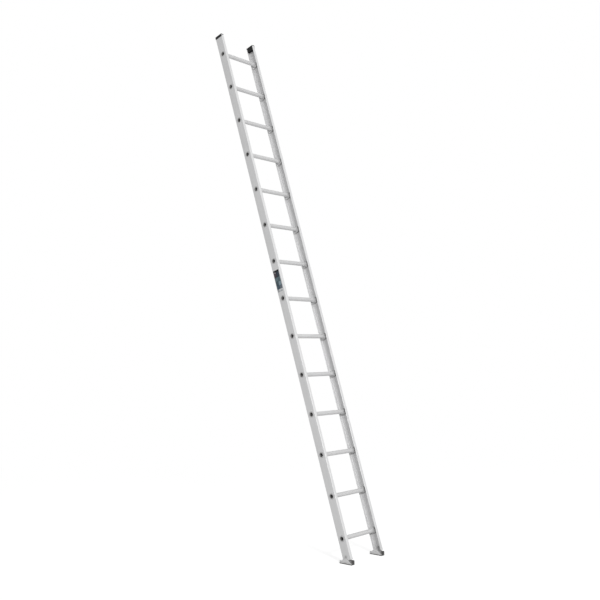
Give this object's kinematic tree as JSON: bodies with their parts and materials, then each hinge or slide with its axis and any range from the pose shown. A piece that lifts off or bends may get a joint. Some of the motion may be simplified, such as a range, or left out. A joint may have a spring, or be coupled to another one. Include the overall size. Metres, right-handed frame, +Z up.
{
  "type": "straight aluminium ladder",
  "caption": "Single-section leaning ladder: two channel rails joined by hollow swaged rungs, with plastic end caps and swivelling rubber-soled feet.",
  "frame": {"origin": "on the floor, midway between the two feet, under the axis of their swivel bolts", "axes": "+X from the left rail to the right rail as the climber sees them, +Y towards the wall that the ladder leans on, +Z up; the ladder stands in use, its rails 18 degrees off the vertical"},
  "size_m": [0.4182, 1.4021, 4.1186],
  "materials": {
    "rail_aluminium": "mill finish extrusion, fine lines along the rail",
    "rung_aluminium": "mill finish extrusion with grip flutes, swaged ends",
    "shoe_aluminium": "satin",
    "cap_plastic": "black moulded plastic, fine texture",
    "tread_rubber": "black ribbed rubber",
    "bolt_steel": "dull zinc plate",
    "rivet_steel": "zinc plate",
    "label_film": null
  },
  "bodies": {
    "ladder": {"left_rail": "rail_aluminium", "right_rail": "rail_aluminium", "rung_01": "rung_aluminium", "rung_02": "rung_aluminium", "rung_03": "rung_aluminium", "rung_04": "rung_aluminium", "rung_05": "rung_aluminium", "rung_06": "rung_aluminium", "rung_07": "rung_aluminium", "rung_08": "rung_aluminium", "rung_09": "rung_aluminium", "rung_10": "rung_aluminium", "rung_11": "rung_aluminium", "rung_12": "rung_aluminium", "rung_13": "rung_aluminium", "rung_14": "rung_aluminium", "left_end_cap": "cap_plastic", "right_end_cap": "cap_plastic", "left_pivot_bolt": "bolt_steel", "left_bolt_washers": "bolt_steel", "left_pivot_bush": "bolt_steel", "left_lock_nut": "bolt_steel", "right_pivot_bolt": "bolt_steel", "right_bolt_washers": "bolt_steel", "right_thrust_washer": "bolt_steel", "right_lock_nut": "bolt_steel", "rating_label": "label_film"},
    "left_foot": {"left_shoe": "shoe_aluminium", "left_tread": "tread_rubber", "left_tread_rivets": "rivet_steel"},
    "right_foot": {"right_shoe": "shoe_aluminium", "right_tread": "tread_rubber", "right_tread_rivets": "rivet_steel"}
  },
  "joints": [
    {"name": "left_foot_swivel", "type": "hinge", "parent": "ladder", "child": "left_foot", "pos_m": [-0.1685, 0, 0.053], "axis": [1, 0, 0], "range_deg": [-38, 72]},
    {"name": "right_foot_swivel", "type": "hinge", "parent": "ladder", "child": "right_foot", "pos_m": [0.2028, 0, 0.053], "axis": [1, 0, 0], "range_deg": [-38, 72]}
  ]
}
